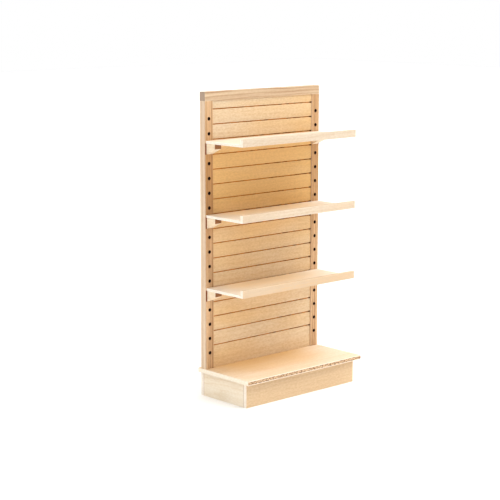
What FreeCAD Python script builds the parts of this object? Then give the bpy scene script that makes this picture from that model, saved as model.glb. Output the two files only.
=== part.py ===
import FreeCAD, Part
import os

# Wooden gondola shelving unit, one single-sided bay, in millimetres.
# +Z is up, the shopper stands on the -Y side, and +X is to the shopper's right.
# The origin is on the floor, under the middle of the whole unit.

# Overall size
unit_width = 914.0          # over the two uprights
unit_height = 1786.0

# Header rail and uprights
header_height = 52.0
upright_width = 59.0
upright_depth = 47.0        # the header rail has the same depth

# Plinth: a plywood deck on four plywood boards
deck_thickness = 26.0
deck_top = 170.0
deck_front_reach = 370.0    # from the uprights' front faces to the deck's front edge
deck_rear_reach = 20.0      # from the uprights' rear faces to the deck's rear edge
deck_side_overhang = 5.0    # past the uprights
plinth_board_thickness = 22.0
plinth_side_inset = 18.0    # in from the uprights' outer sides
plinth_front_reach = 328.0  # from the uprights' front faces to the front board's face
corner_block_side = 35.0
corner_block_height = 120.0

# Back: tongue-and-groove boards, with their ends in a dado in each upright
board_recess = 6.0          # behind the uprights' front faces
board_thickness = 18.0
groove_pitch = 86.3
groove_width = 5.0
groove_count = 17
top_groove_drop = 48.0      # from the header's underside to the middle of the first groove
tongue_thickness = 6.0
tongue_length = 8.0         # what sits in the board above
joint_relief = 1.0          # left free at a tongue's tip and at a board's end
dado_depth = 12.0

# Peg holes in the uprights
peg_radius = 7.5
hole_radius = 7.6
hole_depth = 35.0
hole_count = 17
hole_pitch = 85.5
top_hole_height = 1633.0

# Shelves
shelf_holes = {"upper": 2, "middle": 7, "lower": 12}   # hole counted down from the top one
shelf_side_inset = 4.0      # in from the uprights' outer sides
shelf_reach = 315.0         # from the uprights' front faces to the lip's front
shelf_gap = 0.5             # between a shelf and the uprights
shelf_thickness = 14.0
lip_height = 44.0
lip_thickness = 20.0
bracket_inset = 9.0         # in from the uprights' outer sides
bracket_width = 48.0
bracket_depth = 73.0
bracket_rear_height = 64.0
bracket_front_height = 29.0
peg_in_upright = 30.0
peg_in_bracket = 30.0

# Hidden dowels that hold the uprights
dowel_radius = 5.0
dowel_offsets = (15.0, 42.0)   # from an upright's outer side
dowel_setback = 33.0           # from the uprights' front faces
dowel_in_header = 30.0
dowel_in_upright = 40.0
dowel_in_deck = 20.0

edge_round = 1.2            # radius on the sanded edges
hole_chamfer = 0.8          # round the mouth of each peg hole

# Places that follow from the sizes above
half_width = unit_width / 2
deck_half_width = half_width + deck_side_overhang
unit_depth = deck_front_reach + upright_depth + deck_rear_reach
front_plane = unit_depth / 2 - deck_rear_reach - upright_depth    # the uprights' front faces
rear_plane = front_plane + upright_depth
deck_front = front_plane - deck_front_reach
deck_rear = rear_plane + deck_rear_reach
header_bottom = unit_height - header_height
deck_bottom = deck_top - deck_thickness
board_front = front_plane + board_recess
board_rear = board_front + board_thickness
tongue_front = board_front + (board_thickness - tongue_thickness) / 2
tongue_rear = tongue_front + tongue_thickness
dado_half_span = half_width - upright_width + dado_depth

parts_folder = "parts"


def block(x0, x1, y0, y1, z0, z1):
    """A box between two corners."""
    return Part.makeBox(x1 - x0, y1 - y0, z1 - z0, FreeCAD.Vector(x0, y0, z0))


def rod(start, direction, radius, length):
    """A round rod from a point along a direction."""
    return Part.makeCylinder(radius, length, FreeCAD.Vector(*start), FreeCAD.Vector(*direction))


def eased(shape, radius=edge_round):
    """The shape with every edge rounded, as after sanding."""
    return shape.makeFillet(radius, shape.Edges)


def mirrored(shape):
    """The same piece on the other side of the unit."""
    return shape.mirror(FreeCAD.Vector(0, 0, 0), FreeCAD.Vector(1, 0, 0))


def save(node, shape):
    """Write one piece, or a group of like pieces, as a STEP file."""
    assert shape.isValid() and shape.Volume > 0, node
    shape.exportStep(f"{parts_folder}/{node}.step")


def hole_height(index):
    """Height of a peg hole, counted down from the top one."""
    return top_hole_height - index * hole_pitch


def dowels(side, centre_height, below, above):
    """The two dowels at one end of an upright; side is -1 for the left one and 1 for the right."""
    rods = [
        rod((side * (half_width - offset), front_plane + dowel_setback, centre_height - below),
            (0, 0, 1), dowel_radius, below + above)
        for offset in dowel_offsets
    ]
    return Part.makeCompound(rods)


def header_dowels(side):
    return dowels(side, header_bottom, dowel_in_upright, dowel_in_header)


def foot_dowels(side):
    return dowels(side, deck_top, dowel_in_deck, dowel_in_upright)


def peg_hole(index):
    """A blind peg hole in the left upright, with its chamfered mouth."""
    centre = (-half_width + upright_width / 2, front_plane, hole_height(index))
    mouth = Part.makeCone(hole_radius + hole_chamfer, hole_radius, hole_chamfer,
                          FreeCAD.Vector(*centre), FreeCAD.Vector(0, 1, 0))
    return rod(centre, (0, 1, 0), hole_radius, hole_depth).fuse(mouth)


def upright_left():
    """A post with a row of peg holes in front and a dado for the back boards' ends."""
    post = eased(block(-half_width, -half_width + upright_width, front_plane, rear_plane,
                       deck_top, header_bottom))
    dado = block(-dado_half_span, -half_width + upright_width + edge_round,
                 board_front, board_rear, deck_top, header_bottom)
    holes = [peg_hole(index) for index in range(hole_count)]
    return post.cut([dado, header_dowels(-1), foot_dowels(-1)] + holes)


def header_rail():
    """The rail across the top, with a stopped groove for the top board's tongue."""
    rail = eased(block(-half_width, half_width, front_plane, rear_plane,
                       header_bottom, unit_height))
    groove = block(-dado_half_span, dado_half_span, tongue_front, tongue_rear,
                   header_bottom - edge_round, header_bottom + tongue_length + joint_relief)
    return rail.cut([groove, header_dowels(-1), header_dowels(1)])


def groove_height(index):
    """Height of the middle of a groove in the back, counted down from the top one."""
    return header_bottom - top_groove_drop - index * groove_pitch


def back_board(index):
    """One back board: index 0 meets the header rail and the last one stands on the deck."""
    is_top, is_bottom = index == 0, index == groove_count
    top = header_bottom if is_top else groove_height(index - 1) - groove_width / 2
    bottom = deck_top if is_bottom else groove_height(index) + groove_width / 2
    half_length = dado_half_span - joint_relief
    board = block(-half_length, half_length, board_front, board_rear, bottom, top)
    long_front_edges = [
        edge for edge in board.Edges
        if edge.Length > half_length and abs(edge.CenterOfMass.y - board_front) < edge_round
    ]
    board = board.makeFillet(edge_round, long_front_edges)
    tongue_rise = tongue_length if is_top else groove_width + tongue_length
    board = board.fuse(block(-half_length, half_length, tongue_front, tongue_rear,
                             top - tongue_thickness, top + tongue_rise))
    if not is_bottom:
        board = board.cut(block(-half_length, half_length, tongue_front, tongue_rear,
                                bottom - joint_relief, bottom + tongue_length + joint_relief))
    return board.removeSplitter()


def base_deck():
    """The plywood bottom shelf, which the uprights and the back stand on."""
    deck = eased(block(-deck_half_width, deck_half_width, deck_front, deck_rear,
                       deck_bottom, deck_top))
    return deck.cut([foot_dowels(-1), foot_dowels(1)])


def plinth_boards():
    """The four boards under the deck: the front and back ones cover the side ones' ends."""
    half_span = half_width - plinth_side_inset
    front = front_plane - plinth_front_reach
    thickness = plinth_board_thickness
    side = eased(block(-half_span, -half_span + thickness, front + thickness,
                       deck_rear - thickness, 0, deck_bottom))
    return {
        "plinth_front_board": eased(block(-half_span, half_span, front, front + thickness,
                                          0, deck_bottom)),
        "plinth_back_board": eased(block(-half_span, half_span, deck_rear - thickness,
                                         deck_rear, 0, deck_bottom)),
        "plinth_side_board_left": side,
        "plinth_side_board_right": mirrored(side),
    }


def corner_blocks():
    """Glue blocks in the plinth's four corners, tight under the deck."""
    x0 = -half_width + plinth_side_inset + plinth_board_thickness
    front = front_plane - plinth_front_reach + plinth_board_thickness
    rear = deck_rear - plinth_board_thickness - corner_block_side
    blocks = {}
    for place, y0 in (("front", front), ("rear", rear)):
        left = block(x0, x0 + corner_block_side, y0, y0 + corner_block_side,
                     deck_bottom - corner_block_height, deck_bottom)
        blocks[f"corner_block_{place}_left"] = left
        blocks[f"corner_block_{place}_right"] = mirrored(left)
    return blocks


def shelf_bracket_left(peg_height):
    """A wedge under the shelf's end, with a blind hole for its peg."""
    rear = front_plane - shelf_gap
    front = rear - bracket_depth
    top = peg_height + bracket_rear_height / 2
    profile = [(rear, top), (front, top), (front, top - bracket_front_height),
               (rear, top - bracket_rear_height)]
    x0 = -half_width + bracket_inset
    outline = Part.makePolygon([FreeCAD.Vector(x0, y, z) for y, z in profile + profile[:1]])
    wedge = eased(Part.Face(outline).extrude(FreeCAD.Vector(bracket_width, 0, 0)))
    hole = rod((-half_width + upright_width / 2, rear, peg_height), (0, -1, 0),
               peg_radius, peg_in_bracket)
    return wedge.cut(hole)


def shelf_peg_left(peg_height):
    """A dowel peg, glued in the bracket and pushed into the upright."""
    start = front_plane - shelf_gap - peg_in_bracket
    peg = rod((-half_width + upright_width / 2, start, peg_height), (0, 1, 0),
              peg_radius, peg_in_bracket + shelf_gap + peg_in_upright)
    tip = max(peg.Edges, key=lambda edge: edge.CenterOfMass.y)
    return peg.makeChamfer(1.5, [tip])


def shelf(index):
    """The pieces of one shelf that plugs into the holes of the given index."""
    peg_height = hole_height(index)
    bottom = peg_height + bracket_rear_height / 2
    half_span = half_width - shelf_side_inset
    rear = front_plane - shelf_gap
    front = front_plane - shelf_reach
    bracket = shelf_bracket_left(peg_height)
    peg = shelf_peg_left(peg_height)
    return {
        "board": eased(block(-half_span, half_span, front + lip_thickness, rear,
                             bottom, bottom + shelf_thickness)),
        "front_lip": eased(block(-half_span, half_span, front, front + lip_thickness,
                                 bottom, bottom + lip_height)),
        "bracket_left": bracket,
        "bracket_right": mirrored(bracket),
        "peg_left": peg,
        "peg_right": mirrored(peg),
    }


os.makedirs(parts_folder, exist_ok=True)

left_post = upright_left()
save("upright_left", left_post)
save("upright_right", mirrored(left_post))
save("header_rail", header_rail())
save("header_dowels", Part.makeCompound([header_dowels(-1), header_dowels(1)]))
save("upright_foot_dowels", Part.makeCompound([foot_dowels(-1), foot_dowels(1)]))

for board_index in range(groove_count + 1):
    save(f"back_board_{board_index + 1:02d}", back_board(board_index))

save("base_deck", base_deck())
for node_name, piece in {**plinth_boards(), **corner_blocks()}.items():
    save(node_name, piece)

for level, hole_index in shelf_holes.items():
    for piece_name, piece in shelf(hole_index).items():
        save(f"{level}_shelf_{piece_name}", piece)
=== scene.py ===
import math

import bmesh
import bpy
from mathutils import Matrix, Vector


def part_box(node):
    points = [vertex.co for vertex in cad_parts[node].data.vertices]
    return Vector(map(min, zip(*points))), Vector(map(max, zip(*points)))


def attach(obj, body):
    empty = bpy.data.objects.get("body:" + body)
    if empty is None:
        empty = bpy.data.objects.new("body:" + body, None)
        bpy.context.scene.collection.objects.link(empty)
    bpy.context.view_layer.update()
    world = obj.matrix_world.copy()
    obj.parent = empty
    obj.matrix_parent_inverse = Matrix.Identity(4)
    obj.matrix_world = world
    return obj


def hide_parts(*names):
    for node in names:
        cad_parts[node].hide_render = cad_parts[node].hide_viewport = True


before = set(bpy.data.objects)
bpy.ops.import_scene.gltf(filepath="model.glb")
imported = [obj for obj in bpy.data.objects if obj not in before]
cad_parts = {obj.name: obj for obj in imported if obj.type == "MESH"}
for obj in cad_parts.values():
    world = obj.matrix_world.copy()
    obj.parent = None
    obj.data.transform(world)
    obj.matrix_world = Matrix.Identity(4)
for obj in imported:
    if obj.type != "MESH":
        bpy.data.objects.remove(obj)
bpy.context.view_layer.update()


# ----------------------------------------------
# Studio. A pale seamless floor and glowing white walls. Most light comes from high
# on the right, with softer light from the left front and from behind, and a lit
# panel that fills in the right side.

floor_half_side = 30.0
wall_white = (1.0, 1.0, 1.0, 1.0)
wall_glow = 0.35            # what the walls add to the light on the unit
wall_seen = 1.0             # how bright the walls themselves look
paper_pale = (0.95, 0.95, 0.945, 1)
paper_grey = (0.93, 0.93, 0.925, 1)
daylight = (1, 0.99, 0.97)
panel_light = (1, 0.985, 0.95)
panel_place = Vector((1.4, -1.5, 1.2))
panel_aim = Vector((0.2, 0, 0.9))
panel_size = (1.2, 1.6)
panel_power = 7.0
camera_place = (-5.877, -6.167, 2.349)
camera_down = 10.02         # degrees below level
camera_turn = 42.38         # degrees to the right of straight ahead
camera_focal_length = 105.6
camera_film_width = 36.0
camera_reach = 200.0


def fill(tree, node, inputs):
    """Link or set a node's inputs. A node given as a value stands for its first output."""
    for socket, value in inputs.items():
        if isinstance(value, bpy.types.Node):
            value = value.outputs[0]
        if isinstance(value, bpy.types.NodeSocket):
            tree.links.new(value, node.inputs[socket])
        else:
            node.inputs[socket].default_value = value
    return node


def put(tree, kind, inputs=None, **settings):
    """Add a node, set its properties and fill its inputs."""
    node = tree.nodes.new(kind)
    for name, value in settings.items():
        setattr(node, name, value)
    return fill(tree, node, inputs or {})


def new_material(label):
    """An empty material: its node tree, its shader and the material."""
    material = bpy.data.materials.new(label)
    material.use_nodes = True
    return material.node_tree, material.node_tree.nodes["Principled BSDF"], material


def blend(tree, factor, first, second):
    """The first colour where the factor is 0, and the second where it is 1."""
    return put(tree, "ShaderNodeMix", {"Factor": factor, 6: first, 7: second},
               data_type="RGBA").outputs[2]


def add_object(label, data):
    item = bpy.data.objects.new(label, data)
    bpy.context.scene.collection.objects.link(item)
    return item


def soft_light(label, azimuth, elevation, strength, spread, colour):
    """A wide, far light. Azimuth 0 is the shopper's side and 90 the unit's right."""
    lamp = bpy.data.lights.new(label, "SUN")
    lamp.energy = strength
    lamp.angle = math.radians(spread)
    lamp.color = colour
    turn, tilt = math.radians(azimuth), math.radians(elevation)
    beam = Vector((-math.sin(turn) * math.cos(tilt), math.cos(turn) * math.cos(tilt),
                   -math.sin(tilt)))
    add_object(label, lamp).rotation_euler = beam.to_track_quat("-Z", "Y").to_euler()


walls = bpy.data.worlds.new("studio_walls")
walls.use_nodes = True
tree = walls.node_tree
seen = put(tree, "ShaderNodeLightPath").outputs["Is Camera Ray"]
brightness = put(tree, "ShaderNodeMapRange", {"Value": seen, "To Min": wall_glow,
                                              "To Max": wall_seen})
fill(tree, tree.nodes["Background"], {"Color": wall_white, "Strength": brightness})
bpy.context.scene.world = walls
bpy.context.scene.view_settings.view_transform = "Standard"

soft_light("high_right_light", azimuth=62, elevation=63, strength=3.0, spread=60, colour=daylight)
soft_light("left_front_light", azimuth=-55, elevation=40, strength=1.5, spread=45, colour=daylight)
soft_light("rear_light", azimuth=180, elevation=40, strength=0.8, spread=60, colour=(1, 1, 1))

panel_lamp = bpy.data.lights.new("right_reflector", "AREA")
panel_lamp.shape = "RECTANGLE"
panel_lamp.size, panel_lamp.size_y = panel_size
panel_lamp.energy = panel_power
panel_lamp.color = panel_light
panel = add_object("right_reflector", panel_lamp)
panel.location = panel_place
panel.rotation_euler = (panel_aim - panel_place).to_track_quat("-Z", "Y").to_euler()

floor_mesh = bpy.data.meshes.new("studio_floor")
corner = floor_half_side
floor_mesh.from_pydata(
    [(-corner, -corner, 0), (corner, -corner, 0), (corner, corner, 0), (-corner, corner, 0)],
    [], [(0, 1, 2, 3)])
floor = add_object("studio_floor", floor_mesh)
tree, shader, paper = new_material("white_paper")
fleck = put(tree, "ShaderNodeTexNoise", {"Scale": 3.0, "Detail": 3.0})
fill(tree, shader, {"Base Color": blend(tree, fleck, paper_grey, paper_pale),
                    "Roughness": 0.9, "Specular IOR Level": 0.1})
floor.data.materials.append(paper)

lens = bpy.data.cameras.new("camera")
lens.sensor_width = camera_film_width
lens.lens = camera_focal_length
lens.clip_end = camera_reach
camera = add_object("camera", lens)
camera.location = camera_place
camera.rotation_euler = (math.radians(90 - camera_down), 0, math.radians(-camera_turn))
bpy.context.scene.camera = camera


# ----------------------------------------------
# Uprights. Two solid posts of pale hardwood, planed and sanded, with the grain
# upright. A row of blind peg holes is bored down each front face on the post's
# middle line, and a dado on the inner side takes the ends of the back boards.

arris = 0.0012              # rounding left by the sanding block
arris_steps = 3
flat_area = 4e-5            # a smaller face is part of a rounded edge
flat_lean = 0.995           # and so is one that looks less squarely along an axis
hole_chamfer = 0.0008
peg_hole_radius = 0.0076
peg_hole_depth = 0.035
peg_hole_pitch = 0.0855
peg_hole_count = 17
peg_hole_sides = 40
top_peg_hole = 1.633
tool_overlap = 1e-4         # keeps the drill and the countersink from meeting edge on edge
holes_between_shelves = 5
lowest_shelf_hole = 12      # counted down from the top one, which is 0
dado_depth = 0.012
log_steps = (3.1, 0.23, 0.11)   # how far apart in the log two planks are cut

# The posts' side faces are paler and pinker than their fronts: painted light on the sides, painted
# shade on the fronts.
upright_front_pale = (0.91, 0.635, 0.385, 1)
upright_front_amber = (0.575, 0.305, 0.11, 1)
upright_side_pale = (0.81, 0.67, 0.50, 1)
upright_side_pink = (0.72, 0.54, 0.38, 1)
upright_line = (0.33, 0.165, 0.07, 1)
upright_side_line = (0.50, 0.31, 0.19, 1)
# A paler colour for the rounded edges: a painted highlight.
edge_highlight = (0.86, 0.74, 0.58, 1)
wood_gloss = 0.22
relief_strength = 0.35
grain_relief = 0.0004
# Painted shade on the posts' fronts: a dark strip beside each bracket and a dark band along the
# foot.
post_shade_brown = (0.17, 0.030, 0.004, 1)
post_shade_strength = 0.92
bracket_shade_width = 0.012         # the strip of painted shade beside a bracket
bracket_shade_half_height = 0.034
bracket_shade_fade = 0.004          # its soft top and bottom
bracket_shade_side_fade = 0.002
bracket_shade_ragged = 0.006
front_shade_reach = 0.0045
foot_shade_height = 0.003
foot_shade_ragged = 0.005
foot_shade_strength = 0.7
hole_shade_start = 0.0095       # where the painted shade round each hole's mouth begins to fade
hole_shade_reach = 0.0120        # and where it ends
hole_shade_brown = (0.045, 0.014, 0.005, 1)
# Near-black hole walls: painted shade down the holes.
hole_black = (0.006, 0.003, 0.002, 1)
hole_brown = (0.022, 0.011, 0.006, 1)
post_lit_below = 0.8       # painted light: the posts are paler from here down
post_lit_fade = 0.3
post_lit_paler_by = 0.3

half_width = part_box("header_rail")[1].x
unit_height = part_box("header_rail")[1].z
post_low, post_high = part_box("upright_right")
hole_line = (post_low.x + post_high.x) / 2
board_low, board_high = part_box("back_board_01")
dado_front, dado_rear = board_low.y, board_high.y
shelf_spacing = holes_between_shelves * peg_hole_pitch
lowest_shelf_peg = top_peg_hole - lowest_shelf_hole * peg_hole_pitch


def calc(tree, operation, *values):
    return put(tree, "ShaderNodeMath", dict(enumerate(values)), operation=operation).outputs[0]


def times(tree, first, second):
    return calc(tree, "MULTIPLY", first, second)


def vcalc(tree, operation, first, second):
    return put(tree, "ShaderNodeVectorMath", {0: first, 1: second},
               operation=operation).outputs[0]


def length(tree, arrow):
    return put(tree, "ShaderNodeVectorMath", {0: arrow}, operation="LENGTH").outputs["Value"]


def point(tree, **parts):
    """A vector with the X, Y and Z given; those left out are 0."""
    return put(tree, "ShaderNodeCombineXYZ", parts)


def parts_of(tree, place):
    """A vector's X, Y and Z."""
    return put(tree, "ShaderNodeSeparateXYZ", {0: place}).outputs


def here(tree):
    """Object coordinates, in metres."""
    return put(tree, "ShaderNodeTexCoord").outputs["Object"]


def noise(tree, place, scale, detail=2.0, roughness=0.5, output="Fac"):
    """Noise with its own scale along each axis."""
    return put(tree, "ShaderNodeTexNoise",
               {"Vector": vcalc(tree, "MULTIPLY", place, scale), "Scale": 1.0,
                "Detail": detail, "Roughness": roughness}).outputs[output]


def ramp(tree, factor, *stops):
    """A grey ramp through (place, value) stops."""
    node = put(tree, "ShaderNodeValToRGB", {"Fac": factor})
    elements = node.color_ramp.elements
    while len(elements) < len(stops):
        elements.new(0.5)
    for element, (place, value) in zip(elements, stops):
        element.position = place
        element.color = (value, value, value, 1)
    return node.outputs["Color"]


def fade(tree, value, start, end, smooth=True):
    """Rises from 0 to 1 as the value goes from start to end."""
    return put(tree, "ShaderNodeMapRange",
               {"Value": value, "From Min": start, "From Max": end},
               interpolation_type="SMOOTHSTEP" if smooth else "LINEAR").outputs["Result"]


def new_group(label, inputs, outputs):
    """A shader node group: its tree, its own inputs and its output node. inputs maps each
    name to its starting value, or to None for a place."""
    tree = bpy.data.node_groups.new(label, "ShaderNodeTree")
    for name, value in inputs.items():
        kind = "NodeSocketVector" if value is None else "NodeSocketFloat"
        socket = tree.interface.new_socket(name, in_out="INPUT", socket_type=kind)
        if value is not None:
            socket.default_value = value
    for name in outputs:
        tree.interface.new_socket(name, in_out="OUTPUT", socket_type="NodeSocketFloat")
    return tree, tree.nodes.new("NodeGroupInput").outputs, tree.nodes.new("NodeGroupOutput")


def log_radius(tree, place, drop):
    """Distance from the log's pith, which runs along the grain below the board."""
    across = parts_of(tree, place)
    return length(tree, point(tree, Y=across[1], Z=calc(tree, "ADD", across[2], drop)))


def plank_shift(tree, place, plank, steps):
    """Each plank is cut from another place in the log."""
    shift = {axis: times(tree, plank, step) for axis, step in zip("XYZ", steps)}
    return vcalc(tree, "ADD", place, point(tree, **shift))


def build_long_grain():
    """Long grain: growth rings cut lengthwise, soft streaks, fibres and pores.
    The X of Grain Space runs along the grain, in metres."""
    tree, given, result = new_group(
        "long_grain",
        {"Grain Space": None, "Plank": 0.0, "Ring Gap": 0.008, "Pith Drop": 0.09,
         "Wander": 0.03, "Ring Weight": 0.4, "Streak Weight": 0.5, "Fibre Weight": 0.3,
         "Fleck Weight": 0.2},
        ["Figure", "Pores", "Cloud", "Relief"])
    place = plank_shift(tree, given["Grain Space"], given["Plank"], log_steps)
    drift = noise(tree, place, (1.1, 7, 7), 3.0, output="Color")
    drift = vcalc(tree, "SUBTRACT", drift, (0.5, 0.5, 0.5))
    wander = put(tree, "ShaderNodeVectorMath", {0: drift, "Scale": given["Wander"]},
                 operation="SCALE")
    radius = log_radius(tree, vcalc(tree, "ADD", place, wander), given["Pith Drop"])
    turns = calc(tree, "FRACT", calc(tree, "DIVIDE", radius, given["Ring Gap"]))
    rings = ramp(tree, turns, (0.0, 0.05), (0.55, 0.25), (0.86, 1.0), (0.97, 0.55), (1.0, 0.05))
    streaks = ramp(tree, noise(tree, place, (1.4, 55, 55), 3.0, 0.6), (0.36, 0.0), (0.64, 1.0))
    flecks = ramp(tree, noise(tree, place, (55, 130, 130), 3.0, 0.6), (0.40, 0.0), (0.62, 1.0))
    fibres = noise(tree, place, (10, 700, 700), 2.0, 0.6)
    pores = ramp(tree, noise(tree, place, (38, 1100, 1100), 1.0), (0.64, 0.0), (0.74, 1.0))
    cloud = ramp(tree, noise(tree, place, (1.6, 6, 6)), (0.3, 0.0), (0.7, 1.0))
    figure = times(tree, rings, given["Ring Weight"])
    for marks, weight in ((streaks, "Streak Weight"), (flecks, "Fleck Weight"),
                          (fibres, "Fibre Weight")):
        figure = calc(tree, "MULTIPLY_ADD", marks, given[weight], figure)
    relief = calc(tree, "SUBTRACT", calc(tree, "MULTIPLY_ADD", rings, 0.3, fibres), pores)
    fill(tree, result, {"Figure": figure, "Pores": pores, "Cloud": cloud, "Relief": relief})
    return tree


long_grain = build_long_grain()


def grain_space(tree, axis):
    """Object coordinates turned so that X runs along the grain."""
    if axis == "x":
        return here(tree)
    parts = parts_of(tree, here(tree))
    order = {"y": (1, 0, 2), "z": (2, 0, 1)}[axis]
    return point(tree, **{name: parts[index] for name, index in zip("XYZ", order)})


def attribute(tree, name):
    return put(tree, "ShaderNodeAttribute", attribute_name=name).outputs["Fac"]


def relief_normal(tree, height, depth):
    return put(tree, "ShaderNodeBump",
               {"Height": height, "Distance": depth, "Strength": relief_strength})


def long_grain_material(label, axis, pale, warm, line, rings=0.4, streaks=0.5, fibres=0.3,
                        flecks=0.2, pores=0.12, gap=0.008, drop=0.09, wander=0.03,
                        rough=0.55, shading=None, stain_and_shade=None):
    """Sanded bare wood seen along the grain. Shading gives painted light and shade as warmth, and
    stain_and_shade is a colour with a mask of where it lies, glue on the plinth and painted shade
    elsewhere; each is made by a function of the tree."""
    tree, shader, material = new_material(label)
    grain = put(tree, "ShaderNodeGroup",
                {"Grain Space": grain_space(tree, axis), "Plank": attribute(tree, "plank"),
                 "Ring Gap": gap, "Pith Drop": drop, "Wander": wander, "Ring Weight": rings,
                 "Streak Weight": streaks, "Fibre Weight": fibres, "Fleck Weight": flecks},
                node_tree=long_grain).outputs
    if shading:
        warmth = calc(tree, "MULTIPLY_ADD", grain["Cloud"], 0.35, shading(tree))
    else:
        warmth = calc(tree, "MULTIPLY_ADD", grain["Cloud"], 0.6, attribute(tree, "tone"))
    ground = blend(tree, warmth, pale, warm)
    figured = blend(tree, grain["Figure"], ground, line)
    pored = blend(tree, times(tree, grain["Pores"], pores), figured, line)
    # Rounded edges are blended toward the painted highlight colour.
    coloured = blend(tree, times(tree, attribute(tree, "arris"), 0.3), pored, edge_highlight)
    dullness = calc(tree, "MULTIPLY_ADD", grain["Figure"], 0.15, rough)
    if stain_and_shade:
        mask, mark_colour = stain_and_shade(tree)
        coloured = blend(tree, mask, coloured, mark_colour)
        dullness = calc(tree, "MULTIPLY_ADD", mask, 1.0 - rough, dullness)
    fill(tree, shader, {"Base Color": coloured, "Roughness": dullness,
                        "Normal": relief_normal(tree, grain["Relief"], grain_relief),
                        "Specular IOR Level": wood_gloss})
    return material


def facing(normal):
    """The axis that a face looks along."""
    sizes = [abs(part) for part in normal]
    return "xyz"[sizes.index(max(sizes))]


def finish_mesh(label, shape, materials, plank=0.0, tone=0.0, across=None):
    """Turn a bmesh into an object. materials maps x, y and z to what covers the faces that
    look that way. The plank number places its grain in the log, tone is how far it leans to
    the warmer wood, and on a sheet's top how deep its painted shade lies, and across names the
    axis of a board's thickness, for the plies."""
    shape.normal_update()
    order = list(dict.fromkeys(materials.values()))
    for face in shape.faces:
        face.material_index = order.index(materials[facing(face.normal)])
    small = [float(face.calc_area() < flat_area or max(abs(p) for p in face.normal) < flat_lean)
             for face in shape.faces]
    mesh = bpy.data.meshes.new(label)
    shape.to_mesh(mesh)
    shape.free()
    for material in order:
        mesh.materials.append(material)

    def note(name, domain, values):
        mesh.attributes.new(name, "FLOAT", domain).data.foreach_set("value", values)

    note("arris", "FACE", small)
    note("plank", "FACE", [plank] * len(small))
    note("tone", "FACE", [tone] * len(small))
    if across:
        axis = "xyz".index(across)
        places = [vertex.co[axis] for vertex in mesh.vertices]
        low, high = min(places), max(places)
        note("across", "POINT", [(place - low) / (high - low) for place in places])
    return add_object(label, mesh)


def extruded(outline, axis, start, end):
    """A bmesh prism: outline points lie across the axis, in the order of the other two."""
    shape = bmesh.new()
    slots = [index for index in range(3) if index != axis]
    ring = []
    for first, second in outline:
        corner = [0.0, 0.0, 0.0]
        corner[slots[0]], corner[slots[1]], corner[axis] = first, second, start
        ring.append(shape.verts.new(corner))
    base = shape.faces.new(ring)
    sweep = [0.0, 0.0, 0.0]
    sweep[axis] = end - start
    moved = bmesh.ops.extrude_face_region(shape, geom=[base])["geom"]
    bmesh.ops.translate(shape, vec=sweep,
                        verts=[item for item in moved if isinstance(item, bmesh.types.BMVert)])
    bmesh.ops.recalc_face_normals(shape, faces=shape.faces[:])
    return shape


def sand(shape, edges):
    """Round edges as a sanding block does."""
    bmesh.ops.bevel(shape, geom=edges, offset=arris, offset_type="OFFSET",
                    segments=arris_steps, profile=0.5, affect="EDGES", clamp_overlap=True)


def settle(piece, body, record_slot, *nodes):
    """Give a finished piece to its body and hide the CAD nodes it stands for. record_slot is not
    used.
    """
    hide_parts(*nodes)
    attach(piece, body)


def new_geometry_tree(label, sockets):
    """A geometry node tree with one geometry in and out: its tree, inputs and output node.
    sockets maps the name of each other input to its kind."""
    tree = bpy.data.node_groups.new(label, "GeometryNodeTree")
    for name, kind in {"Geometry": "Geometry", **sockets}.items():
        tree.interface.new_socket(name, in_out="INPUT", socket_type="NodeSocket" + kind)
    tree.interface.new_socket("Geometry", in_out="OUTPUT", socket_type="NodeSocketGeometry")
    return tree, tree.nodes.new("NodeGroupInput").outputs, tree.nodes.new("NodeGroupOutput")


def grown(piece, tree, values):
    """Run a geometry node tree on a piece and keep the outcome as its plain mesh."""
    modifier = piece.modifiers.new(tree.name, "NODES")
    modifier.node_group = tree
    for item in tree.interface.items_tree:
        if item.in_out == "INPUT" and item.name in values:
            modifier[item.identifier] = values[item.name]
    bpy.context.view_layer.update()
    evaluated = piece.evaluated_get(bpy.context.evaluated_depsgraph_get())
    mesh = bpy.data.meshes.new_from_object(evaluated)
    piece.modifiers.remove(modifier)
    mesh.name = piece.name
    piece.data = mesh


def build_peg_hole_tree():
    """Bores a row of blind holes with chamfered mouths down the front of a post."""
    tree, given, result = new_geometry_tree("peg_hole_row", {
        "Hole Count": "Int", "Top Hole": "Vector", "Pitch": "Float", "Radius": "Float",
        "Depth": "Float", "Chamfer": "Float", "Wall": "Material"})
    row = put(tree, "GeometryNodeMeshLine",
              {"Count": given["Hole Count"], "Start Location": given["Top Hole"],
               "Offset": point(tree, Z=times(tree, given["Pitch"], -1.0))})
    drill = put(tree, "GeometryNodeMeshCylinder",
                {"Vertices": peg_hole_sides, "Radius": given["Radius"],
                 "Depth": times(tree, given["Depth"], 2.0)})
    sink = put(tree, "GeometryNodeMeshCone",
               {"Vertices": peg_hole_sides,
                "Radius Top": calc(tree, "SUBTRACT", given["Radius"], tool_overlap),
                "Radius Bottom": calc(tree, "ADD", given["Radius"],
                                      times(tree, given["Chamfer"], 2.0)),
                "Depth": calc(tree, "MULTIPLY_ADD", given["Chamfer"], 2.0, tool_overlap)})
    sink = put(tree, "GeometryNodeTransform",
               {"Geometry": sink,
                "Translation": point(tree, Z=times(tree, given["Chamfer"], -1.0))})
    bits = put(tree, "GeometryNodeMeshBoolean", {"Mesh 2": drill}, operation="UNION",
               solver="EXACT")
    fill(tree, bits, {"Mesh 2": sink})
    turned = put(tree, "GeometryNodeTransform",
                 {"Geometry": bits, "Rotation": (math.radians(-90), 0, 0)})
    coloured = put(tree, "GeometryNodeSetMaterial",
                   {"Geometry": turned, "Material": given["Wall"]})
    drills = put(tree, "GeometryNodeInstanceOnPoints", {"Points": row, "Instance": coloured})
    real = put(tree, "GeometryNodeRealizeInstances", {"Geometry": drills})
    bored = put(tree, "GeometryNodeMeshBoolean",
                {"Mesh 1": given["Geometry"], "Mesh 2": real},
                operation="DIFFERENCE", solver="EXACT")
    fill(tree, result, {"Geometry": bored})
    return tree


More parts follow.
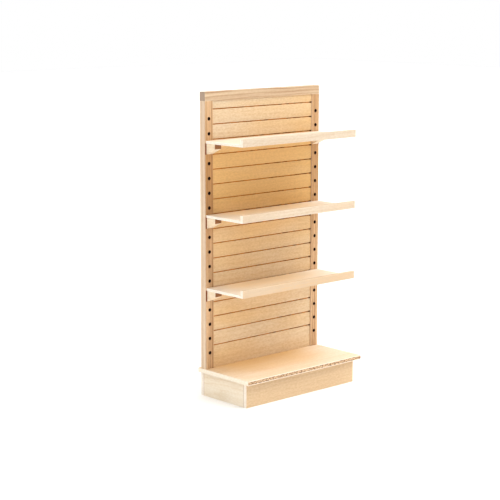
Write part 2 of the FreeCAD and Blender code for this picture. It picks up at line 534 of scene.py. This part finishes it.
def build_painted_shading():
    """Painted light and shade, given as warmth from place to place: palest near the top left as
    painted light, most amber between the upper two shelves as painted shade, warmer towards the
    top right."""
    tree, given, result = new_group("painted_shading", {"Place": None}, ["Shade"])
    parts = parts_of(tree, given["Place"])
    height = calc(tree, "DIVIDE", parts[2], unit_height)
    by_height = ramp(tree, height, (0.10, 0.35), (0.36, 0.35), (0.50, 0.50), (0.66, 0.85),
                     (0.80, 0.95), (0.86, 0.15), (1.0, 0.0))
    top_right = times(tree, fade(tree, parts[0], -0.3, 0.4, smooth=False),
                      fade(tree, height, 0.78, 0.88, smooth=False))
    fill(tree, result, {"Shade": calc(tree, "MULTIPLY_ADD", top_right, 0.5, by_height)})
    return tree


painted_shading = build_painted_shading()


def shading_by_place_and_tone(tree):
    """The painted shading group on object coordinates, with the piece's own tone on top."""
    shading = put(tree, "ShaderNodeGroup", {"Place": here(tree)}, node_tree=painted_shading)
    return calc(tree, "ADD", shading, attribute(tree, "tone"))


def post_painted_shading(tree):
    """As for the back, but the posts are painted paler below the middle shelf: painted light."""
    below = fade(tree, parts_of(tree, here(tree))[2], post_lit_below + post_lit_fade,
                 post_lit_below)
    return calc(tree, "SUBTRACT", shading_by_place_and_tone(tree), times(tree, below, post_lit_paler_by))


def post_painted_shade(tree):
    """Painted shade in the narrow strip beside each bracket's back and along the foot, and a ring
    of painted shade round each hole's mouth. All of it is on the front."""
    parts = parts_of(tree, here(tree))
    sideways = calc(tree, "ABSOLUTE", parts[0])
    from_peg = calc(tree, "PINGPONG", calc(tree, "SUBTRACT", parts[2], lowest_shelf_peg),
                    shelf_spacing / 2)
    ragged = noise(tree, grain_space(tree, "z"), (60, 200, 200), 3.0)
    at_peg = fade(tree, calc(tree, "MULTIPLY_ADD", ragged, bracket_shade_ragged, from_peg),
                  bracket_shade_half_height + bracket_shade_fade, bracket_shade_half_height)
    strip = half_width - bracket_shade_width
    beside = times(tree, at_peg, fade(tree, sideways, strip, strip + bracket_shade_side_fade))
    beside = times(tree, beside, calc(tree, "GREATER_THAN", parts[2], lowest_shelf_peg / 2))
    foot_top = post_low.z + foot_shade_height
    foot = fade(tree, calc(tree, "MULTIPLY_ADD", ragged, foot_shade_ragged, parts[2]),
                foot_top + foot_shade_height, foot_top)
    # A ring of painted shade round each hole's mouth, so the dark of the hole looks wider.
    off_hole = calc(tree, "PINGPONG", calc(tree, "SUBTRACT", parts[2], top_peg_hole),
                    peg_hole_pitch / 2)
    below_last = top_peg_hole - (peg_hole_count - 0.5) * peg_hole_pitch
    in_row = times(tree, calc(tree, "GREATER_THAN", parts[2], below_last),
                   calc(tree, "LESS_THAN", parts[2], top_peg_hole + peg_hole_pitch / 2))
    off_line = calc(tree, "SUBTRACT", sideways, hole_line)
    from_hole = length(tree, point(tree, X=off_line, Y=off_hole))
    ring = times(tree, fade(tree, from_hole, hole_shade_reach, hole_shade_start), in_row)
    bracket_and_foot_shade = calc(tree, "MAXIMUM", beside, times(tree, foot, foot_shade_strength))
    marks = calc(tree, "MAXIMUM", times(tree, bracket_and_foot_shade, post_shade_strength), ring)
    in_front = calc(tree, "LESS_THAN", parts[1], post_low.y + front_shade_reach)
    return times(tree, marks, in_front), blend(tree, ring, post_shade_brown, hole_shade_brown)


upright_front_wood = long_grain_material(
    "upright_front_wood", "z", upright_front_pale, upright_front_amber, upright_line,
    rings=0.4, streaks=0.45, fibres=0.2, flecks=0.1, pores=0.3, gap=0.013, drop=0.05,
    wander=0.02, shading=post_painted_shading, stain_and_shade=post_painted_shade)
upright_side_wood = long_grain_material(
    "upright_side_wood", "z", upright_side_pale, upright_side_pink, upright_side_line,
    rings=0.35, streaks=0.35, fibres=0.2, flecks=0.1, pores=0.3, gap=0.014, drop=0.06,
    wander=0.02)
# The hole walls are coloured near black: painted shade down the holes.
tree, shader, hole_wall = new_material("bored_hole_wall")
hole_mottle = noise(tree, grain_space(tree, "y"), (60, 500, 500), 3.0)
fill(tree, shader, {"Base Color": blend(tree, hole_mottle, hole_black, hole_brown),
                    "Roughness": 0.9, "Specular IOR Level": 0.1})

peg_hole_tree = build_peg_hole_tree()
# The right post's tone is set lower so that it comes out paler: painted light from the right.
for side, node, plank, tone in ((1, "upright_left", 0.31, 0.05),
                                (-1, "upright_right", 0.77, -0.2)):
    low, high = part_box(node)
    outer, inner = (low.x, high.x) if side == 1 else (high.x, low.x)
    bottom_of_dado = inner - side * dado_depth
    section = [(outer, low.y), (inner, low.y), (inner, dado_front),
               (bottom_of_dado, dado_front), (bottom_of_dado, dado_rear),
               (inner, dado_rear), (inner, high.y), (outer, high.y)]
    post = extruded(section, 2, low.z, high.z)
    outside = [edge for edge in post.edges
               if not any(abs(vertex.co.x - bottom_of_dado) < 1e-6 for vertex in edge.verts)]
    sand(post, outside)
    piece = finish_mesh(node + "_post", post,
                        {"x": upright_side_wood, "y": upright_front_wood,
                         "z": upright_side_wood}, plank, tone)
    grown(piece, peg_hole_tree, {
        "Hole Count": peg_hole_count, "Pitch": peg_hole_pitch, "Radius": peg_hole_radius,
        "Depth": peg_hole_depth, "Chamfer": hole_chamfer, "Wall": hole_wall,
        "Top Hole": ((low.x + high.x) / 2, low.y, top_peg_hole)})
    settle(piece, "frame", "upright_wood", node)


# ----------------------------------------------
# Header rail. One board of the same hardwood laid over both posts and dowelled to
# them, with a bold streak of darker wood through its face and grey end grain.

header_pale = (0.75, 0.59, 0.40, 1)
header_warm = (0.665, 0.48, 0.295, 1)
header_line = (0.40, 0.225, 0.12, 1)
header_end_pale = (0.47, 0.355, 0.27, 1)
header_end_dark = (0.235, 0.155, 0.105, 1)
end_grain_gloss = 0.2
end_grain_relief = 0.0005


def build_end_grain():
    """End grain: arcs of growth rings and open pores. X of Cut Space runs into the wood."""
    tree, given, result = new_group(
        "end_grain", {"Cut Space": None, "Plank": 0.0, "Ring Gap": 0.006, "Pith Drop": 0.05},
        ["Rings", "Specks", "Relief"])
    place = plank_shift(tree, given["Cut Space"], given["Plank"], log_steps)
    drift = noise(tree, place, (20, 30, 30), output="Color")
    drift = vcalc(tree, "MULTIPLY", vcalc(tree, "SUBTRACT", drift, (0.5, 0.5, 0.5)),
                  (0.0, 0.008, 0.008))
    radius = log_radius(tree, vcalc(tree, "ADD", place, drift), given["Pith Drop"])
    turns = calc(tree, "FRACT", calc(tree, "DIVIDE", radius, given["Ring Gap"]))
    rings = ramp(tree, turns, (0.0, 0.1), (0.6, 0.35), (0.9, 1.0), (1.0, 0.1))
    specks = ramp(tree, noise(tree, place, (150, 260, 260), 3.0, 0.65), (0.42, 0.0), (0.62, 1.0))
    relief = calc(tree, "SUBTRACT", times(tree, rings, 0.4), specks)
    fill(tree, result, {"Rings": rings, "Specks": specks, "Relief": relief})
    return tree


end_grain = build_end_grain()


def end_grain_material(label, axis, pale, dark, gap=0.006, drop=0.05, speckle=0.35):
    """Sawn and sanded end grain."""
    tree, shader, material = new_material(label)
    cut = put(tree, "ShaderNodeGroup",
              {"Cut Space": grain_space(tree, axis), "Plank": attribute(tree, "plank"),
               "Ring Gap": gap, "Pith Drop": drop}, node_tree=end_grain).outputs
    ringed = blend(tree, times(tree, cut["Rings"], 0.7), pale, dark)
    specked = blend(tree, times(tree, cut["Specks"], speckle), ringed, dark)
    fill(tree, shader, {"Base Color": specked,
                        "Roughness": calc(tree, "MULTIPLY_ADD", cut["Specks"], 0.15, 0.7),
                        "Normal": relief_normal(tree, cut["Relief"], end_grain_relief),
                        "Specular IOR Level": end_grain_gloss})
    return material


def milled_board(label, node, body, record_slot, materials, plank, tone=0.0, across=None):
    """A square-edged board with sanded arrises, made to fill a CAD node's box and settled."""
    low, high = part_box(node)
    outline = [(low.y, low.z), (high.y, low.z), (high.y, high.z), (low.y, high.z)]
    shape = extruded(outline, 0, low.x, high.x)
    sand(shape, shape.edges[:])
    piece = finish_mesh(label, shape, materials, plank, tone, across)
    settle(piece, body, record_slot, node)


header_wood = long_grain_material(
    "header_wood", "x", header_pale, header_warm, header_line, rings=0.45, streaks=0.4,
    fibres=0.15, flecks=0.1, pores=0.3, gap=0.022, drop=0.03, wander=0.075)
header_end = end_grain_material("header_end_grain", "x", header_end_pale, header_end_dark)
milled_board("header_rail_board", "header_rail", "frame", "header_wood",
             {"x": header_end, "y": header_wood, "z": header_wood}, plank=0.52)


# ----------------------------------------------
# Back. Eighteen planed boards lie edge over edge between the posts, each with a
# tongue that fills the groove above it. The top one is half height and the bottom
# one is wide.

back_board_count = 18
back_groove = 0.005
back_arris = 0.0007
back_arris_steps = 3
back_play = 0.0005          # how far a board may stand out of line
tongue_thickness = 0.006
tongue_rise = 0.013         # through the groove and into the board above
back_pale = (0.81, 0.705, 0.55, 1)
back_amber = (0.765, 0.47, 0.18, 1)
back_line = (0.50, 0.28, 0.11, 1)
# Painted shade: the grooves' faces are coloured brown to black, darker towards the right.
groove_brown = (0.66, 0.245, 0.045, 1)
groove_black = (0.15, 0.032, 0.004, 1)
groove_shade_least = 0.25  # at the left end, as a part of what it is at the right
edge_slant = 0.35           # a face that tilts more than this is a board's long edge
end_shade_length = 0.022         # painted shade, black, over the last of each groove at the right
end_shade_fade = 0.008
end_shade_half_height = 0.0035   # how far that painted shade reaches onto the boards' faces there
end_shade_edge = 0.002

back_names = [f"back_board_{number:02d}" for number in range(1, back_board_count + 1)]
back_lows = [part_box(name)[0].z for name in back_names]
regular_pitch = back_lows[2] - back_lows[3]
top_groove = back_lows[0] - back_groove / 2
lowest_groove = back_lows[-2] - back_groove / 2
header_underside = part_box("header_rail")[0].z


def stored(tree, geometry, name, value, domain):
    """Keep a number under a name on each point or face."""
    return put(tree, "GeometryNodeStoreNamedAttribute",
               {"Geometry": geometry, "Name": name, "Value": value},
               data_type="FLOAT", domain=domain)


def build_back_board_tree():
    """A stack of equal boards with rounded long edges, each set a hair in or out of line."""
    tree, given, result = new_geometry_tree("back_board_stack", {
        "Board Count": "Int", "Top Board": "Vector", "Pitch": "Float", "Length": "Float",
        "Thickness": "Float", "Height": "Float", "Arris": "Float",
        "Tongue Thickness": "Float", "Tongue Rise": "Float", "Seed": "Int",
        "Wood": "Material"})
    places = put(tree, "GeometryNodeMeshLine",
                 {"Count": given["Board Count"], "Start Location": given["Top Board"],
                  "Offset": point(tree, Z=times(tree, given["Pitch"], -1.0))})
    plank = put(tree, "FunctionNodeRandomValue", {"Seed": given["Seed"]}, data_type="FLOAT")
    out_of_line = put(tree, "FunctionNodeRandomValue",
                      {"Min": (0, 0, 0), "Max": (0, back_play, 0), "Seed": given["Seed"]},
                      data_type="FLOAT_VECTOR")
    nudged = put(tree, "GeometryNodeSetPosition", {"Geometry": places, "Offset": out_of_line})
    numbered = stored(tree, nudged, "plank", plank.outputs[1], "POINT")
    section = put(tree, "GeometryNodeCurvePrimitiveQuadrilateral",
                  {"Width": given["Thickness"], "Height": given["Height"]})
    rounded = put(tree, "GeometryNodeFilletCurve",
                  {"Curve": section, "Radius": given["Arris"], "Count": back_arris_steps},
                  mode="POLY")
    half = times(tree, given["Length"], 0.5)
    spine = put(tree, "GeometryNodeCurvePrimitiveLine",
                {"Start": point(tree, X=times(tree, half, -1.0)), "End": point(tree, X=half)})
    upright_spine = put(tree, "GeometryNodeSetCurveNormal", {"Curve": spine}, mode="Z_UP")
    board = put(tree, "GeometryNodeCurveToMesh",
                {"Curve": upright_spine, "Profile Curve": rounded, "Fill Caps": True})
    tongue = put(tree, "GeometryNodeMeshCube",
                 {"Size": point(tree, X=given["Length"], Y=given["Tongue Thickness"],
                                Z=given["Tongue Rise"])})
    rise = times(tree, calc(tree, "ADD", given["Height"], given["Tongue Rise"]), 0.5)
    tongue = put(tree, "GeometryNodeTransform",
                 {"Geometry": tongue, "Translation": point(tree, Z=rise)})
    tongue = stored(tree, tongue, "tongue", 1.0, "FACE")
    whole = put(tree, "GeometryNodeJoinGeometry", {"Geometry": board})
    fill(tree, whole, {"Geometry": tongue})
    boards = put(tree, "GeometryNodeInstanceOnPoints", {"Points": numbered, "Instance": whole})
    real = put(tree, "GeometryNodeRealizeInstances", {"Geometry": boards})
    slant = parts_of(tree, put(tree, "GeometryNodeInputNormal"))[2]
    on_edge = calc(tree, "GREATER_THAN", calc(tree, "ABSOLUTE", slant), edge_slant)
    on_tongue = put(tree, "GeometryNodeInputNamedAttribute", {"Name": "tongue"},
                    data_type="FLOAT")
    marked = stored(tree, real, "groove", calc(tree, "MAXIMUM", on_edge, on_tongue), "FACE")
    wooden = put(tree, "GeometryNodeSetMaterial",
                 {"Geometry": marked, "Material": given["Wood"]})
    fill(tree, result, {"Geometry": wooden})
    return tree


def groove_painted_shade(tree):
    """Painted shade in the grooves between the boards: least at the left, black at the right."""
    place = here(tree)
    parts = parts_of(tree, place)
    rightward = calc(tree, "MULTIPLY_ADD", fade(tree, parts[0], -0.42, 0.2, smooth=False),
                     1 - groove_shade_least, groove_shade_least)
    broken = ramp(tree, noise(tree, place, (28, 150, 150), 3.0, 0.6), (0.44, 0.0), (0.60, 1.0))
    end_shade_start = board_high.x - end_shade_length
    right_end = fade(tree, parts[0], end_shade_start - end_shade_fade, end_shade_start)
    darkened = calc(tree, "MAXIMUM", times(tree, rightward, broken), right_end)
    off_groove = calc(tree, "PINGPONG", calc(tree, "SUBTRACT", parts[2], top_groove),
                      regular_pitch / 2)
    mark = times(tree, fade(tree, off_groove, end_shade_half_height + end_shade_edge, end_shade_half_height),
                 right_end)
    in_front = calc(tree, "LESS_THAN", parts[1], board_low.y + tongue_thickness)
    above_last = calc(tree, "GREATER_THAN", parts[2], lowest_groove - back_groove)
    mark = times(tree, mark, times(tree, in_front, above_last))
    return (calc(tree, "MAXIMUM", attribute(tree, "groove"), mark),
            blend(tree, darkened, groove_brown, groove_black))


back_wood = long_grain_material(
    "back_board_wood", "x", back_pale, back_amber, back_line, rings=0.10, streaks=0.08,
    fibres=0.08, flecks=0.24, pores=0.1, gap=0.024, drop=0.10, wander=0.11,
    shading=shading_by_place_and_tone, stain_and_shade=groove_painted_shade)
back_board_tree = build_back_board_tree()
for label, names, rise, seed in (
        ("back_board_top", back_names[:1], board_high.z - header_underside, 5),
        ("back_boards_middle", back_names[1:-1], tongue_rise, 11),
        ("back_board_bottom", back_names[-1:], tongue_rise, 23)):
    low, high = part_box(names[0])
    face_top = high.z - rise
    stack = add_object(label, bpy.data.meshes.new(label))
    grown(stack, back_board_tree, {
        "Board Count": len(names), "Pitch": regular_pitch, "Seed": seed,
        "Top Board": (0, (low.y + high.y) / 2, (low.z + face_top) / 2),
        "Length": high.x - low.x, "Thickness": high.y - low.y, "Height": face_top - low.z,
        "Arris": back_arris, "Tongue Thickness": tongue_thickness,
        "Tongue Rise": rise, "Wood": back_wood})
    settle(stack, "frame", "back_board_wood", *names)


# ----------------------------------------------
# Deck. The bottom shelf is one sheet of thick plywood with a pale birch veneer on
# each face. Its core was sawn across the fibres along the front, where it shows
# rough and speckled, and along the fibres at the ends, where it is smooth.

deck_pale = (0.81, 0.70, 0.58, 1)
deck_warm = (0.74, 0.49, 0.235, 1)
deck_line = (0.62, 0.39, 0.18, 1)
ply_veneer_edge = (0.84, 0.75, 0.62, 1)
ply_core_pale = (0.68, 0.465, 0.285, 1)
ply_core_dark = (0.16, 0.065, 0.022, 1)
ply_smooth_pale = (0.90, 0.80, 0.66, 1)
ply_smooth_dark = (0.78, 0.62, 0.45, 1)
ply_glue = (0.34, 0.19, 0.10, 1)
ply_steps = (3.1, 0.7, 0.9)
ply_gloss = 0.25
ply_glue_depth = 0.34       # from the middle of the sheet, as a part of its thickness
ply_glue_reach = 0.025
ply_core_fade = 0.015
ply_wobble = 0.05


def build_ply_edge():
    """The edge of a sheet of plywood. Across runs from 0 to 1 through its thickness."""
    tree, given, result = new_group(
        "ply_edge", {"Across": 0.5, "Cut Space": None, "Plank": 0.0},
        ["Core", "Glue", "Specks", "Relief"])
    place = plank_shift(tree, given["Cut Space"], given["Plank"], ply_steps)
    wobble = calc(tree, "MULTIPLY_ADD", noise(tree, place, (14, 14, 14)), ply_wobble,
                  -ply_wobble / 2)
    off_middle = calc(tree, "SUBTRACT", given["Across"], 0.5)
    depth = calc(tree, "ABSOLUTE", calc(tree, "ADD", off_middle, wobble))
    core = ramp(tree, depth, (ply_glue_depth - ply_core_fade, 1.0),
                (ply_glue_depth + ply_core_fade, 0.0))
    from_glue = calc(tree, "ABSOLUTE", calc(tree, "SUBTRACT", depth, ply_glue_depth))
    glue = ramp(tree, from_glue, (0.0, 1.0), (ply_glue_reach, 0.0))
    specks = ramp(tree, noise(tree, place, (75, 75, 150), 3.0, 0.65), (0.47, 0.0), (0.56, 1.0))
    relief = calc(tree, "SUBTRACT", 1.0, times(tree, specks, core))
    fill(tree, result, {"Core": core, "Glue": glue, "Specks": specks, "Relief": relief})
    return tree


ply_edge = build_ply_edge()


def ply_edge_material(label, core_pale, core_dark, veneer, speckle, glue, depth):
    """A sawn plywood edge: two pale veneers with the core between them."""
    tree, shader, material = new_material(label)
    edge = put(tree, "ShaderNodeGroup",
               {"Across": attribute(tree, "across"), "Cut Space": here(tree),
                "Plank": attribute(tree, "plank")}, node_tree=ply_edge).outputs
    core = blend(tree, times(tree, edge["Specks"], speckle), core_pale, core_dark)
    layered = blend(tree, edge["Core"], veneer, core)
    glued = blend(tree, times(tree, edge["Glue"], glue), layered, ply_glue)
    fill(tree, shader, {"Base Color": glued,
                        "Roughness": calc(tree, "MULTIPLY_ADD", edge["Specks"], 0.2, 0.6),
                        "Normal": relief_normal(tree, edge["Relief"], depth),
                        "Specular IOR Level": ply_gloss})
    return material


def shaded_at_rear(front, rear, left_start):
    """A sheet's top: painted light at its front and ends, and painted shade, warm, towards its
    rear.
    """
    def shading(tree):
        parts = parts_of(tree, here(tree))
        inward = times(tree, fade(tree, parts[0], half_width, half_width / 4),
                       fade(tree, parts[0], left_start, -half_width / 2))
        shaded = times(tree, fade(tree, parts[1], front, rear), inward)
        return times(tree, shaded, attribute(tree, "tone"))
    return shading


low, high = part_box("base_deck")
deck_veneer = long_grain_material(
    "deck_veneer", "x", deck_pale, deck_warm, deck_line, rings=0.18, streaks=0.15,
    fibres=0.18, flecks=0.22, gap=0.03, drop=0.15, wander=0.14, rough=0.5,
    shading=shaded_at_rear(low.y, dado_front, -1.4 * half_width))
deck_sawn_edge = ply_edge_material(
    "deck_sawn_edge", ply_core_pale, ply_core_dark, ply_veneer_edge,
    speckle=0.95, glue=0.55, depth=0.0012)
deck_smooth_edge = ply_edge_material(
    "deck_smooth_edge", ply_smooth_pale, ply_smooth_dark, ply_veneer_edge,
    speckle=0.4, glue=0.25, depth=0.0003)
# The deck's tone sets how deep the painted shade lies at its rear.
milled_board("base_deck_sheet", "base_deck", "frame", "deck_plywood",
             {"x": deck_smooth_edge, "y": deck_sawn_edge, "z": deck_veneer},
             plank=0.14, tone=0.9, across="z")


# ----------------------------------------------
# Plinth. Four plywood boards stand under the deck, the front and back ones lapped
# over the side ones' ends, with a softwood glue block in each corner.

plinth_front_pale = (0.74, 0.565, 0.37, 1)
plinth_front_warm = (0.70, 0.50, 0.30, 1)
plinth_front_line = (0.54, 0.36, 0.20, 1)
# The side boards are paler than the front and back ones: painted light on the sides.
plinth_side_pale = (0.87, 0.79, 0.67, 1)
plinth_side_warm = (0.84, 0.735, 0.58, 1)
plinth_side_line = (0.74, 0.60, 0.42, 1)
plinth_edge_veneer = (0.88, 0.81, 0.72, 1)
plinth_edge_pale = (0.86, 0.78, 0.68, 1)
plinth_edge_dark = (0.76, 0.63, 0.50, 1)
block_pale = (0.72, 0.52, 0.31, 1)
glue_brown = (0.36, 0.19, 0.09, 1)
glue_width = 0.002          # what has squeezed out of a joint
glue_fade = 0.0015
glue_strength = 0.85

side_low, side_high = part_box("plinth_side_board_left")
side_middle = (side_low.y + side_high.y) / 2
side_half_length = (side_high.y - side_low.y) / 2


def glue_line(tree):
    """Squeezed-out glue where a side board's ends meet the front and back boards."""
    from_middle = calc(tree, "ABSOLUTE", calc(tree, "SUBTRACT", parts_of(tree, here(tree))[1],
                                              side_middle))
    glue_start = side_half_length - glue_width
    line = fade(tree, from_middle, glue_start - glue_fade, glue_start)
    return times(tree, line, glue_strength), glue_brown


plinth_front_veneer = long_grain_material(
    "plinth_front_veneer", "x", plinth_front_pale, plinth_front_warm, plinth_front_line,
    rings=0.2, streaks=0.12, fibres=0.15, flecks=0.38, gap=0.02, drop=0.1, wander=0.1)
plinth_side_veneer = long_grain_material(
    "plinth_side_veneer", "y", plinth_side_pale, plinth_side_warm, plinth_side_line,
    rings=0.35, streaks=0.2, fibres=0.2, flecks=0.3, gap=0.025, drop=0.1, wander=0.16,
    stain_and_shade=glue_line)
plinth_edge = ply_edge_material(
    "plinth_edge", plinth_edge_pale, plinth_edge_dark, plinth_edge_veneer,
    speckle=0.35, glue=0.3, depth=0.0003)
across_unit = {"x": plinth_edge, "y": plinth_front_veneer, "z": plinth_edge}
along_depth = {"x": plinth_side_veneer, "y": plinth_edge, "z": plinth_edge}
for place, materials, plank, across in (("front_board", across_unit, 0.2, "y"),
                                        ("back_board", across_unit, 0.66, "y"),
                                        ("side_board_left", along_depth, 0.43, "x"),
                                        ("side_board_right", along_depth, 0.9, "x")):
    node = "plinth_" + place
    milled_board(node + "_sheet", node, "frame", "plinth_plywood", materials, plank,
                 across=across)

block_wood = long_grain_material(
    "block_wood", "z", block_pale, plinth_front_warm, plinth_front_line,
    gap=0.005, drop=0.03, wander=0.01)
block_end = end_grain_material("block_end_grain", "z", block_pale, plinth_front_line, gap=0.004)
for number, place in enumerate(("front_left", "front_right", "rear_left", "rear_right")):
    node = "corner_block_" + place
    milled_board(node + "_glued", node, "frame", "block_wood",
                 {"x": block_wood, "y": block_wood, "z": block_end}, 0.13 + 0.21 * number)


# ----------------------------------------------
# Hidden dowels. Plain beech rods, glued across the joints at the top and foot of
# each upright; nothing of them shows.

dowel_pale = (0.70, 0.52, 0.34, 1)
dowel_warm = (0.66, 0.47, 0.29, 1)
dowel_line = (0.50, 0.33, 0.19, 1)

dowel_wood = long_grain_material(
    "dowel_wood", "z", dowel_pale, dowel_warm, dowel_line, gap=0.004)
for node in ("header_dowels", "upright_foot_dowels"):
    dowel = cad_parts[node]
    dowel.data.materials.clear()
    dowel.data.materials.append(dowel_wood)


# ----------------------------------------------
# Shelves. Each is a thin plywood board with a hardwood lip glued along its front
# edge to stop goods sliding off, on two wedge brackets. A beech peg in each
# bracket's back plugs into the uprights, so the whole shelf lifts away.

shelf_pale = (0.78, 0.705, 0.62, 1)
shelf_warm = (0.86, 0.635, 0.375, 1)
shelf_line = (0.69, 0.56, 0.41, 1)
shelf_edge_veneer = (0.94, 0.91, 0.86, 1)
shelf_edge_pale = (0.89, 0.78, 0.65, 1)
shelf_edge_dark = (0.76, 0.59, 0.44, 1)
lip_pale = (0.70, 0.635, 0.54, 1)
lip_warm = (0.65, 0.44, 0.255, 1)
lip_line = (0.59, 0.45, 0.31, 1)
lip_end_pale = (0.92, 0.85, 0.74, 1)
lip_end_dark = (0.78, 0.64, 0.49, 1)
bracket_pale = (0.86, 0.75, 0.59, 1)
bracket_warm = (0.82, 0.68, 0.50, 1)
bracket_line = (0.68, 0.48, 0.28, 1)
# The brackets' end grain is much darker than the other end grain: partly real end grain, partly
# painted shade under the shelf.
bracket_end_shaded_pale = (0.33, 0.145, 0.060, 1)
bracket_end_shaded_dark = (0.15, 0.055, 0.020, 1)
peg_pale = (0.72, 0.54, 0.36, 1)
peg_warm = (0.68, 0.48, 0.30, 1)
peg_end_pale = (0.56, 0.40, 0.26, 1)
peg_end_dark = (0.36, 0.23, 0.14, 1)
bracket_front_height = 0.029
peg_flutes = 12
steps_per_flute = 4
flute_depth = 0.0004
peg_tip_chamfer = 0.0015

low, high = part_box("upper_shelf_board")
shelf_veneer = long_grain_material(
    "shelf_veneer", "x", shelf_pale, shelf_warm, shelf_line, rings=0.18, streaks=0.15,
    fibres=0.18, flecks=0.2, gap=0.03, drop=0.12, wander=0.12, rough=0.5,
    shading=shaded_at_rear(low.y, high.y, -half_width))
shelf_edge = ply_edge_material(
    "shelf_edge", shelf_edge_pale, shelf_edge_dark, shelf_edge_veneer,
    speckle=0.4, glue=0.5, depth=0.0003)
lip_wood = long_grain_material(
    "lip_wood", "x", lip_pale, lip_warm, lip_line, rings=0.28, streaks=0.35,
    fibres=0.2, flecks=0.38, gap=0.016, drop=0.07, wander=0.06)
lip_end = end_grain_material("lip_end_grain", "x", lip_end_pale, lip_end_dark, speckle=0.2)
bracket_wood = long_grain_material(
    "bracket_wood", "y", bracket_pale, bracket_warm, bracket_line, rings=0.3, streaks=0.3,
    fibres=0.25, gap=0.006, drop=0.05, wander=0.01)
bracket_end_shaded = end_grain_material(
    "bracket_end_grain_shaded", "y", bracket_end_shaded_pale, bracket_end_shaded_dark, gap=0.004)
peg_wood = long_grain_material(
    "peg_wood", "y", peg_pale, peg_warm, dowel_line, gap=0.005, drop=0.02, wander=0.004)
peg_end = end_grain_material("peg_end_grain", "y", peg_end_pale, peg_end_dark, gap=0.003)


def wedge_bracket(low, high):
    """A block whose underside slopes up to a short front face."""
    outline = [(high.y, high.z), (low.y, high.z), (low.y, high.z - bracket_front_height),
               (high.y, low.z)]
    shape = extruded(outline, 0, low.x, high.x)
    sand(shape, shape.edges[:])
    return shape


def fluted_peg(low, high):
    """A dowel peg with shallow flutes pressed along it and chamfered ends."""
    radius = (high.x - low.x) / 2
    centre = (low + high) / 2
    stations = [(low.y, radius - peg_tip_chamfer), (low.y + peg_tip_chamfer, radius),
                (high.y - peg_tip_chamfer, radius), (high.y, radius - peg_tip_chamfer)]
    count = peg_flutes * steps_per_flute
    shape = bmesh.new()
    rings = []
    for y, reach in stations:
        ring = []
        for index in range(count):
            turn = 2 * math.pi * index / count
            groove = flute_depth if index % steps_per_flute == 0 else 0.0
            ring.append(shape.verts.new((centre.x + (reach - groove) * math.cos(turn), y,
                                         centre.z + (reach - groove) * math.sin(turn))))
        rings.append(ring)
    for near, far in zip(rings, rings[1:]):
        for index in range(count):
            after = (index + 1) % count
            shape.faces.new((near[index], far[index], far[after], near[after]))
    shape.faces.new(rings[0])
    shape.faces.new(rings[-1][::-1])
    bmesh.ops.recalc_face_normals(shape, faces=shape.faces[:])
    return shape


# For each shelf: how deep the painted shade lies at its board's rear, and how warm its lip has
# turned
for number, (level, sheet_shade_depth, lip_tone) in enumerate((("upper", 0.0, 0.0),
                                                        ("middle", 1.0, 0.05),
                                                        ("lower", 0.8, 0.7))):
    name = level + "_shelf"
    plank = 0.17 + 0.29 * number
    milled_board(name + "_sheet", name + "_board", name, "shelf_wood",
                 {"x": shelf_edge, "y": shelf_edge, "z": shelf_veneer},
                 plank, sheet_shade_depth, across="z")
    milled_board(name + "_lip", name + "_front_lip", name, "shelf_wood",
                 {"x": lip_end, "y": lip_wood, "z": lip_wood}, plank + 0.4, lip_tone)
    for side, shift in (("left", 0.05), ("right", 0.61)):
        node = f"{name}_bracket_{side}"
        bracket = finish_mesh(node + "_wedge", wedge_bracket(*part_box(node)),
                              {"x": bracket_wood, "y": bracket_end_shaded, "z": bracket_wood},
                              plank + shift)
        settle(bracket, name, "bracket_wood", node)
        node = f"{name}_peg_{side}"
        peg = finish_mesh(node + "_dowel", fluted_peg(*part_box(node)),
                          {"x": peg_wood, "y": peg_end, "z": peg_wood}, plank + shift)
        settle(peg, name, "dowel_wood", node)
